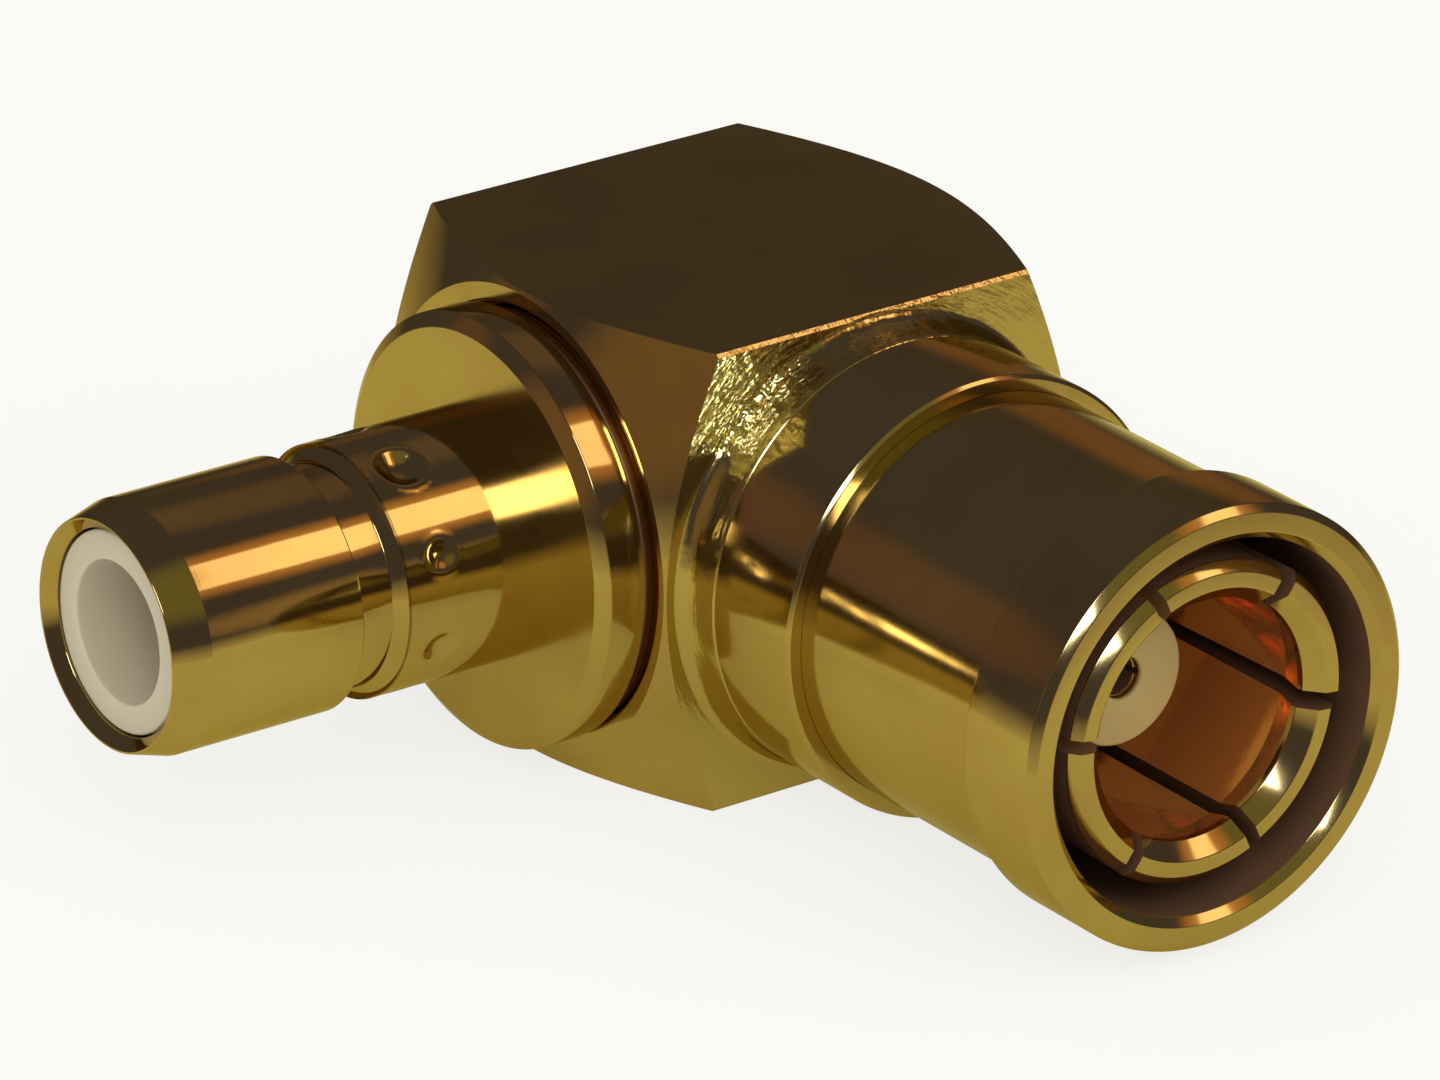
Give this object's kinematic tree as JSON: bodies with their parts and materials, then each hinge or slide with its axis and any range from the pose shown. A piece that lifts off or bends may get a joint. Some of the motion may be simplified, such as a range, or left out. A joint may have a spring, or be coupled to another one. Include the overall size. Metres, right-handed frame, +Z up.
{
  "type": "coax adapter",
  "caption": "Right-angle coaxial adapter: a square gold-plated body with a snap-fit jack on one arm and a shrouded snap-fit plug on the other.",
  "frame": {"origin": "on the underside of the square body, straight under the point where the jack's axis and the plug's axis cross", "axes": "-X along the jack towards its nose, -Y along the plug towards its mouth, +Z up, square to both arms"},
  "size_m": [0.0142, 0.0149, 0.007],
  "materials": {
    "gold_body": "polished gold plating over turned brass",
    "gold_contact": "gold plating over copper alloy",
    "fluoropolymer": "machined white fluoropolymer, slightly waxy"
  },
  "bodies": {
    "root": {"body": "gold_body", "shroud": "gold_body", "collet": "gold_contact", "jack_insulator": "fluoropolymer", "jack_pin": "gold_contact", "plug_insulator": "fluoropolymer", "plug_socket": "gold_contact", "rear_cap": "gold_body"}
  },
  "joints": []
}
